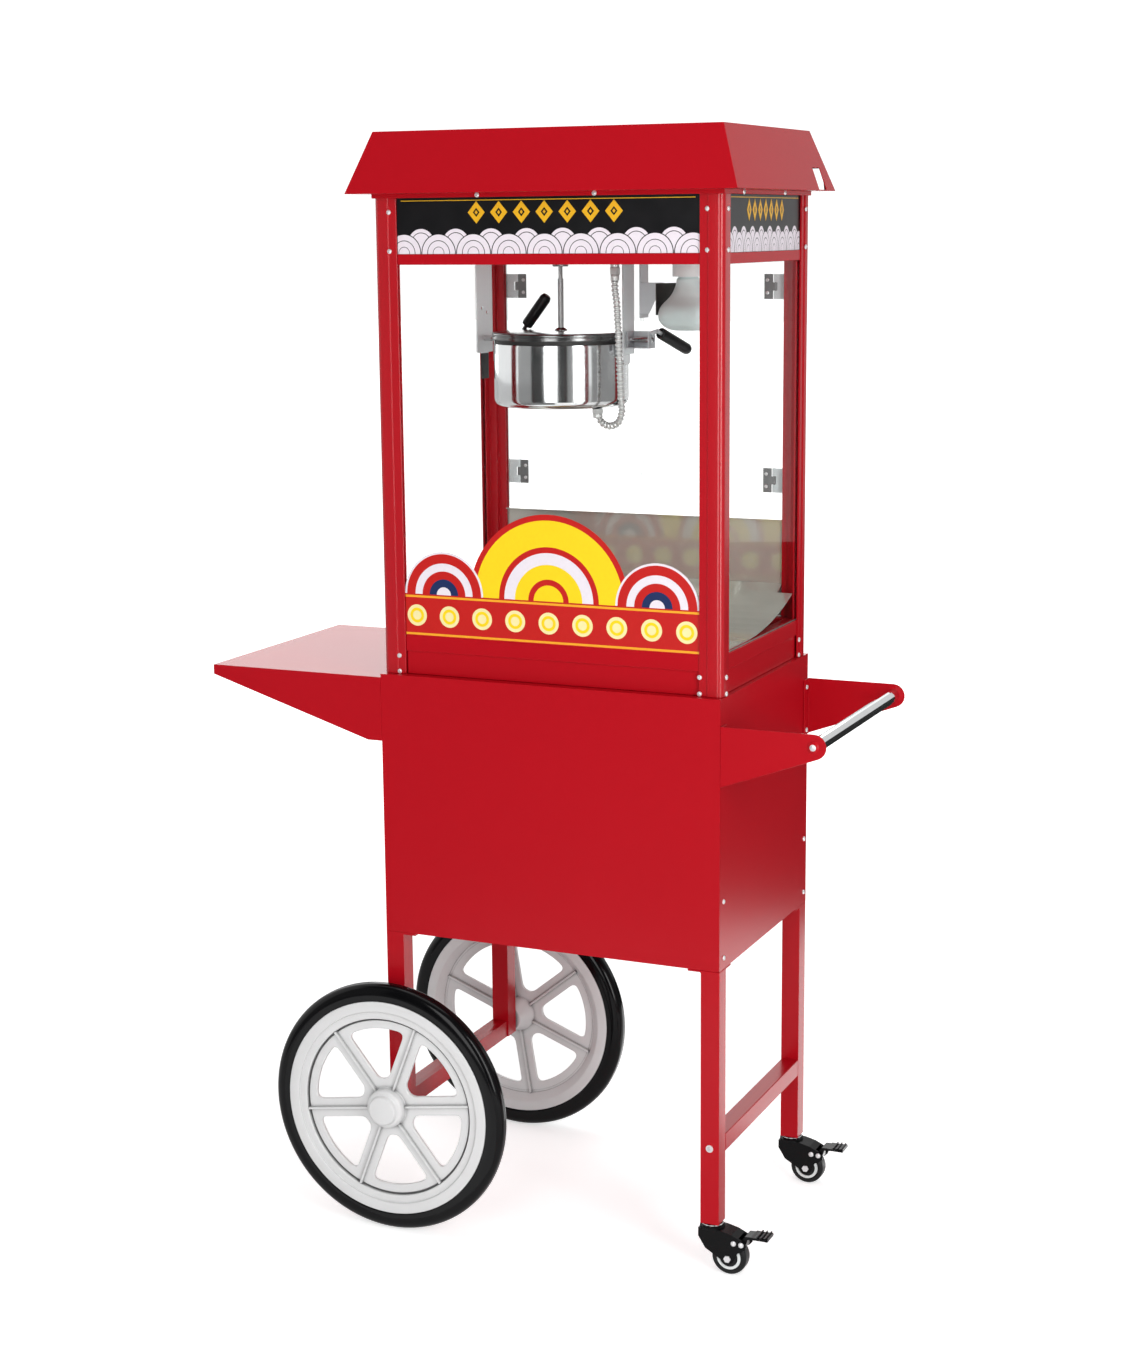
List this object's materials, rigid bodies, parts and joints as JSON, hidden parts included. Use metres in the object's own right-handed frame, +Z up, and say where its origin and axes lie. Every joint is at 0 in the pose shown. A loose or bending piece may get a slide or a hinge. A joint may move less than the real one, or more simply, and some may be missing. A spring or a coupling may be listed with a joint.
{
  "type": "popcorn maker",
  "caption": "Popcorn maker with a glazed cabinet and tilting kettle on a wheeled cart with a side shelf and a push handle.",
  "frame": {"origin": "on the floor, under the middle of the overall outline", "axes": "+Z up; -Y is the customers' side; +X is the push-handle end"},
  "size_m": [0.9237, 0.486, 1.543],
  "materials": {
    "red_paint": "glossy red enamel",
    "sign_black": "satin black panel",
    "polished_steel": "mirror-polished stainless steel",
    "black_plastic": "black moulded plastic",
    "black_steel": "black painted stampings",
    "clear_pane": "clear pane",
    "frosted_glass": "frosted glass of the reflector lamp",
    "rim_plastic": "pale grey moulded rim",
    "tyre_rubber": "smooth black tyre",
    "chrome_plate": "chrome-plated tube"
  },
  "bodies": {
    "root": {"roof": "red_paint", "ceiling_pan": "red_paint", "sign_front": "sign_black", "sign_left": "sign_black", "sign_right": "sign_black", "control_panel": "polished_steel", "agitator_motor": "black_steel", "post_front_left": "red_paint", "post_front_right": "red_paint", "post_rear_left": "red_paint", "post_rear_right": "red_paint", "base_frame": "red_paint", "glass_front": "clear_pane", "glass_left": "clear_pane", "glass_right": "clear_pane", "rear_lower_panel": "polished_steel", "serving_deck": "polished_steel", "hanger_left": "polished_steel", "hanger_right": "polished_steel", "conduit": "polished_steel", "lamp_holder": "polished_steel", "lamp_bulb": "frosted_glass", "cart_box": "red_paint", "wheel_end_frame": "red_paint", "leg_front_right": "red_paint", "leg_rear_right": "red_paint", "stretcher": "red_paint", "shelf": "red_paint", "handle_bracket_front": "red_paint", "handle_bracket_rear": "red_paint", "handle_tube": "chrome_plate"},
    "door_left": {"door_left": "clear_pane", "hinge_leaf_left_lower": "polished_steel", "hinge_leaf_left_upper": "polished_steel"},
    "door_right": {"door_right": "clear_pane", "hinge_leaf_right_lower": "polished_steel", "hinge_leaf_right_upper": "polished_steel"},
    "drawer": {"crumb_drawer": "polished_steel"},
    "rocker_heat": {"rocker_heat": "black_plastic"},
    "rocker_motor": {"rocker_motor": "black_plastic"},
    "rocker_lamp": {"rocker_lamp": "black_plastic"},
    "kettle": {"kettle_pot": "polished_steel", "lid_half": "polished_steel", "tilt_arm": "polished_steel", "tilt_grip": "black_plastic"},
    "lid": {"lid_flap": "polished_steel", "lid_grip": "black_plastic"},
    "agitator": {"agitator": "polished_steel"},
    "coupling": {"drive_coupling": "polished_steel"},
    "cart_door": {"cart_door": "red_paint"},
    "wheel_front": {"wheel_rim_front": "rim_plastic", "tyre_front": "tyre_rubber"},
    "wheel_rear": {"wheel_rim_rear": "rim_plastic", "tyre_rear": "tyre_rubber"},
    "caster_front": {"caster_fork_front": "black_steel"},
    "caster_wheel_front": {"caster_wheel_front": "black_plastic"},
    "brake_pedal_front": {"brake_pedal_front": "black_steel"},
    "caster_rear": {"caster_fork_rear": "black_steel"},
    "caster_wheel_rear": {"caster_wheel_rear": "black_plastic"},
    "brake_pedal_rear": {"brake_pedal_rear": "black_steel"}
  },
  "joints": [
    {"name": "door_left_hinge", "type": "hinge", "parent": "root", "child": "door_left", "pos_m": [-0.1381, 0.174, 1.192], "axis": [0, 0, 1], "range_deg": [0, 110]},
    {"name": "door_right_hinge", "type": "hinge", "parent": "root", "child": "door_right", "pos_m": [0.2659, 0.174, 1.192], "axis": [0, 0, -1], "range_deg": [0, 110]},
    {"name": "drawer_slide", "type": "slide", "parent": "root", "child": "drawer", "axis": [0, 1, 0], "range_m": [0, 0.22]},
    {"name": "rocker_heat_tip", "type": "hinge", "parent": "root", "child": "rocker_heat", "pos_m": [0.0299, 0.168, 1.421], "axis": [1, 0, 0], "range_deg": [0, 16]},
    {"name": "rocker_motor_tip", "type": "hinge", "parent": "root", "child": "rocker_motor", "pos_m": [0.0639, 0.168, 1.421], "axis": [1, 0, 0], "range_deg": [0, 16]},
    {"name": "rocker_lamp_tip", "type": "hinge", "parent": "root", "child": "rocker_lamp", "pos_m": [0.0979, 0.168, 1.421], "axis": [1, 0, 0], "range_deg": [0, 16]},
    {"name": "kettle_tilt", "type": "hinge", "parent": "root", "child": "kettle", "pos_m": [0.0109, 0, 1.262], "axis": [-1, 0, 0], "range_deg": [0, 95], "deforming": ["conduit"]},
    {"name": "lid_hinge", "type": "hinge", "parent": "kettle", "child": "lid", "pos_m": [0.0109, 0.008, 1.2738], "axis": [1, 0, 0], "range_deg": [0, 80]},
    {"name": "agitator_spin", "type": "hinge", "parent": "kettle", "child": "agitator", "pos_m": [0.0109, 0, 1.262], "axis": [0, 0, 1], "continuous": true},
    {"name": "drive_spin", "type": "hinge", "parent": "root", "child": "coupling", "pos_m": [0.0109, 0, 1.366], "axis": [0, 0, 1], "continuous": true},
    {"name": "cart_door_hinge", "type": "hinge", "parent": "root", "child": "cart_door", "pos_m": [-0.1321, 0.179, 0.61875], "axis": [0, 0, 1], "range_deg": [0, 110]},
    {"name": "wheel_front_spin", "type": "hinge", "parent": "root", "child": "wheel_front", "pos_m": [-0.1721, -0.216, 0.183], "axis": [0, 1, 0], "continuous": true},
    {"name": "caster_front_swivel", "type": "hinge", "parent": "root", "child": "caster_front", "pos_m": [0.3029, -0.1695, 0.09], "axis": [0, 0, 1], "continuous": true},
    {"name": "caster_wheel_front_spin", "type": "hinge", "parent": "caster_front", "child": "caster_wheel_front", "pos_m": [0.3299, -0.1695, 0.025], "axis": [0, 1, 0], "continuous": true},
    {"name": "brake_pedal_front_press", "type": "hinge", "parent": "caster_front", "child": "brake_pedal_front", "pos_m": [0.3499, -0.1695, 0.046], "axis": [0, 1, 0], "range_deg": [0, 15]},
    {"name": "wheel_rear_spin", "type": "hinge", "parent": "root", "child": "wheel_rear", "pos_m": [-0.1721, 0.216, 0.183], "axis": [0, 1, 0], "continuous": true},
    {"name": "caster_rear_swivel", "type": "hinge", "parent": "root", "child": "caster_rear", "pos_m": [0.3029, 0.1695, 0.09], "axis": [0, 0, 1], "continuous": true},
    {"name": "caster_wheel_rear_spin", "type": "hinge", "parent": "caster_rear", "child": "caster_wheel_rear", "pos_m": [0.3299, 0.1695, 0.025], "axis": [0, 1, 0], "continuous": true},
    {"name": "brake_pedal_rear_press", "type": "hinge", "parent": "caster_rear", "child": "brake_pedal_rear", "pos_m": [0.3499, 0.1695, 0.046], "axis": [0, 1, 0], "range_deg": [0, 15]}
  ],
  "couplings": [
    {"joint": "drive_spin", "follows": "agitator_spin", "ratio": 1}
  ]
}
